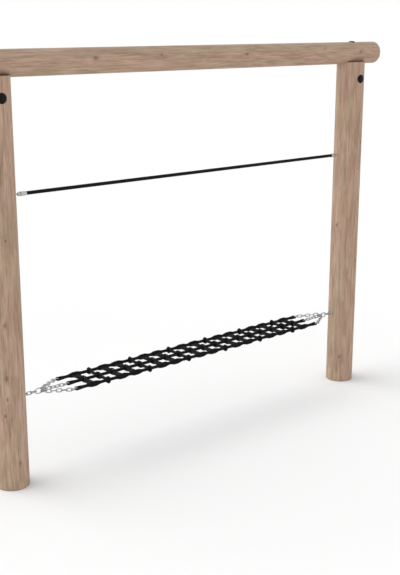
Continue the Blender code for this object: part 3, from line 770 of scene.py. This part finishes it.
def make_net():
    """Three long ropes, and the short ropes that are spliced to them or pass round them."""
    for name, row in ROWS:
        splices = [station_x(k) for k in range(STATION_COUNT) if row and not is_knotted(k)]
        strands, hearts = long_rope(chain_course(row)[1], splices)
        mesh = rope_mesh(f"{name} rope", strands, hearts, (0, row * ROPE_PITCH, NET_HEIGHT))
        piece(f"{name}_net_rope_strands", mesh, NET_ROPE, NET_BODY,
              f"{name}_net_rope")
    for k in range(STATION_COUNT):
        strands, hearts = short_rope(is_knotted(k))
        mesh = rope_mesh("cross rope", strands, hearts, (station_x(k), 0, NET_HEIGHT))
        piece(f"cross_rope_{k + 1:02d}_strands", mesh, NET_ROPE, NET_BODY,
              f"cross_rope_{k + 1:02d}")


def make_hand_rope():
    """The taut laid hand rope, and its turned fittings with their crimped sleeves."""
    step = 0.006
    length = POST_SPACING - 2 * HAND_ROPE_END
    steps = round(length / step)
    # A little over a third, so that the strands press into each other
    strand_radius = HAND_ROPE_RADIUS / 3 * 1.04
    strands = []
    for i in range(STRAND_COUNT):
        strand = []
        for k in range(steps + 1):
            along = length * k / steps
            angle = 2 * math.pi * along / HAND_ROPE_LAY + i * math.pi / 3
            offset = 2 / 3 * HAND_ROPE_RADIUS * Vector((0, math.cos(angle), math.sin(angle)))
            strand.append((offset + Vector((along, 0, 0)), strand_radius))
        strands.append(strand)
    rope = rope_mesh("hand rope", strands, [], (HAND_ROPE_END, 0, HAND_ROPE_HEIGHT))
    piece("hand_rope_strands", rope, HAND_ROPE, FRAME_BODY, "hand_rope")
    for side, x, inward in ENDS:
        lying = frame_along((x, 0, HAND_ROPE_HEIGHT), (inward, 0, 0))
        fitting = turned(bmesh.new(), lying, FITTING_PROFILE, FITTING_SIDES)
        piece(f"{side}_fitting_turned", to_mesh("fitting", fitting), FITTING_STEEL, FRAME_BODY,
              f"{side}_hand_rope_fitting")


# ---- chains ----

def add_link(body, length, width, place):
    """One welded chain link about a frame's origin, its length along X and width along Z."""
    made = bmesh.new()
    straight = length - width
    corner = Matrix.Translation((-straight / 2, 0, width / 2 - WIRE_RADIUS))
    ring = ring_of(made, WIRE_SIDES, WIRE_RADIUS, corner)
    # The weld is a slight swelling in the middle of the second straight
    for heading, weld in ((1, 1.0), (-1, WELD_SWELL)):
        height = heading * (width / 2 - WIRE_RADIUS)
        before = 1.0
        for part, thick in ((0.42, 1.0), (0.08, weld), (0.08, 1.0), (0.42, 1.0)):
            ring = bmesh.ops.extrude_edge_only(made, edges=edges_of(ring))["geom"]
            onward = (heading * part * straight, 0, 0)
            bmesh.ops.translate(made, vec=onward, verts=corners_of(ring))
            ratio = thick / before
            centre = Vector((corners_of(ring)[0].co.x, 0, height))
            bmesh.ops.scale(made, vec=(1, ratio, ratio), verts=corners_of(ring),
                            space=Matrix.Translation(-centre))
            before = thick
        bend = bmesh.ops.spin(made, geom=corners_of(ring) + edges_of(ring),
                              cent=(heading * straight / 2, 0, 0), axis=(0, 1, 0),
                              angle=math.pi, steps=BOW_STEPS)
        ring = bend["geom_last"]
    bmesh.ops.remove_doubles(made, verts=made.verts, dist=0.00001)
    bmesh.ops.transform(made, matrix=place, verts=made.verts)
    holder = bpy.data.meshes.new("link")
    made.to_mesh(holder)
    made.free()
    body.from_mesh(holder)
    bpy.data.meshes.remove(holder)


def on_side(body, side):
    """Leave a left-hand body as it is, or turn it into its right-hand twin."""
    if side == "right":
        across = Matrix.Translation((POST_SPACING, 0, 0)) @ Matrix.Scale(-1, 4, (1, 0, 0))
        bmesh.ops.transform(body, matrix=across, verts=body.verts)
    return body


def chain_course(row):
    """Where each link of a chain starts and ends, and how far along the rope's eye is."""
    count = OUTER_CHAIN_LINKS if row else MIDDLE_CHAIN_LINKS
    bend = LINK_WIDTH / 2 - WIRE_RADIUS
    swings = [0.0] * count
    depth = MIDDLE_HOOK_DEPTH
    hook = Vector((MIDDLE_HOOK_X, 0, HANGER_HEIGHT))
    if row:
        depth = OUTER_HOOK_DEPTH
        hook = Vector((OUTER_HOOK_X, 0, HANGER_HEIGHT + row * CHAIN_STACK_STEP))
        first_aside = (LINK_REACH - depth) * math.sin(FIRST_LINK_SWING)
        last_aside = (LINK_STEP - bend) * math.sin(LAST_LINK_SWING)
        aside = (ROPE_PITCH - first_aside - last_aside) / ((count - 2) * LINK_STEP)
        swings = [FIRST_LINK_SWING, *[math.asin(aside)] * (count - 2), LAST_LINK_SWING]
    slope = (NET_HEIGHT - hook.z) / ((count - 1) * LINK_STEP - bend)
    course = []
    for i, swing in enumerate(swings):
        heading = Vector((math.cos(swing), row * math.sin(swing), slope if i else 0.0))
        start = hook - depth * heading
        hook = start + LINK_REACH * heading
        depth = LINK_REACH - LINK_STEP
        course.append((start, hook))
    return course, hook.x + bend * (1 - heading.x) + EYE_SLACK


def make_chains():
    """Short chains from each eyebolt, and three chains that fan out to the rope eyes."""
    for side, _, _ in ENDS:
        trunk = bmesh.new()
        for x, length, width, roll in (
                (FIRST_LINK, LINK_LENGTH, LINK_WIDTH, 0.0),
                (FIRST_LINK + LINK_STEP, LINK_LENGTH, LINK_WIDTH, math.pi / 2),
                (JUNCTION_LINK, JUNCTION_LENGTH, JUNCTION_WIDTH, 0.0)):
            add_link(trunk, length, width, frame_along((x, 0, HANGER_HEIGHT), (1, 0, 0), roll))
        piece(f"{side}_trunk_links", to_mesh("trunk", on_side(trunk, side)), CHAIN_STEEL, NET_BODY,
              f"{side}_trunk_chain")
        for name, row in ROWS:
            course, _ = chain_course(row)
            # Each link is turned about a quarter from the one before, the last to fit the eye
            steps = len(course) - 1
            half_turns = round((steps + 1) / 2 - EYE_TILT / math.pi)
            roll_step = (EYE_TILT + half_turns * math.pi - math.pi / 2) / steps
            chain = bmesh.new()
            for i, (start, end) in enumerate(course):
                roll = math.pi / 2 + i * roll_step
                add_link(chain, LINK_LENGTH, LINK_WIDTH,
                         frame_along((start + end) / 2, end - start, roll))
            piece(f"{side}_{name}_links", to_mesh("chain", on_side(chain, side)), CHAIN_STEEL,
                  NET_BODY, f"{side}_{name}_chain")


def make_eyebolts():
    """A level ring on a short shank in each post."""
    for side, _, _ in ENDS:
        bolt = bmesh.new()
        across = frame_along((RING_CENTRE + RING_RADIUS, 0, HANGER_HEIGHT), (0, 1, 0), math.pi / 2)
        ring = ring_of(bolt, RING_WIRE_SIDES, WIRE_RADIUS, across)
        bmesh.ops.spin(bolt, geom=ring, cent=(RING_CENTRE, 0, HANGER_HEIGHT), axis=(0, 0, 1),
                       angle=2 * math.pi, steps=RING_STEPS, use_merge=True)
        shank = frame_along((0, 0, HANGER_HEIGHT), (1, 0, 0))
        turned(bolt, shank, SHANK_PROFILE, SHANK_SIDES)
        piece(f"{side}_eyebolt_ring", to_mesh("eyebolt", on_side(bolt, side)), CHAIN_STEEL,
              FRAME_BODY, f"{side}_net_eyebolt")


# ---- studio ----

def make_studio():
    """A pale floor, a white dome, a soft light from high behind on the left, and the camera."""
    floor = bmesh.new()
    bmesh.ops.create_grid(floor, x_segments=1, y_segments=1, size=60.0)
    flat = to_mesh("floor", floor)
    flat.materials.append(pale_floor())
    ground = bpy.data.objects.new("floor", flat)
    bpy.context.scene.collection.objects.link(ground)
    world = bpy.data.worlds.new("white studio")
    world.use_nodes = True
    background = world.node_tree.nodes["Background"]
    background.inputs["Color"].default_value = (1, 1, 1, 1)
    background.inputs["Strength"].default_value = 1.0
    bpy.context.scene.world = world
    soft_light = bpy.data.lights.new("soft light", "SUN")
    soft_light.energy = 1.7
    soft_light.angle = math.radians(45)
    lamp = bpy.data.objects.new("soft light", soft_light)
    bpy.context.scene.collection.objects.link(lamp)
    light_falls = Vector((0.38, -0.32, -0.87))
    lamp.rotation_euler = light_falls.to_track_quat("-Z", "Y").to_euler()
    lens = bpy.data.cameras.new("camera")
    lens.lens = 62.31
    lens.sensor_width = 36
    camera = bpy.data.objects.new("camera", lens)
    bpy.context.scene.collection.objects.link(camera)
    camera.location = (-2.1332, -3.9359, 2.1534)
    view = Vector((0.62159, 0.73940, -0.25882))
    camera.rotation_euler = view.to_track_quat("-Z", "Y").to_euler()
    bpy.context.scene.camera = camera
    bpy.context.scene.view_settings.view_transform = "Standard"


make_posts()
make_beam()
make_caps()
make_hand_rope()
make_net()
make_chains()
make_eyebolts()
make_studio()
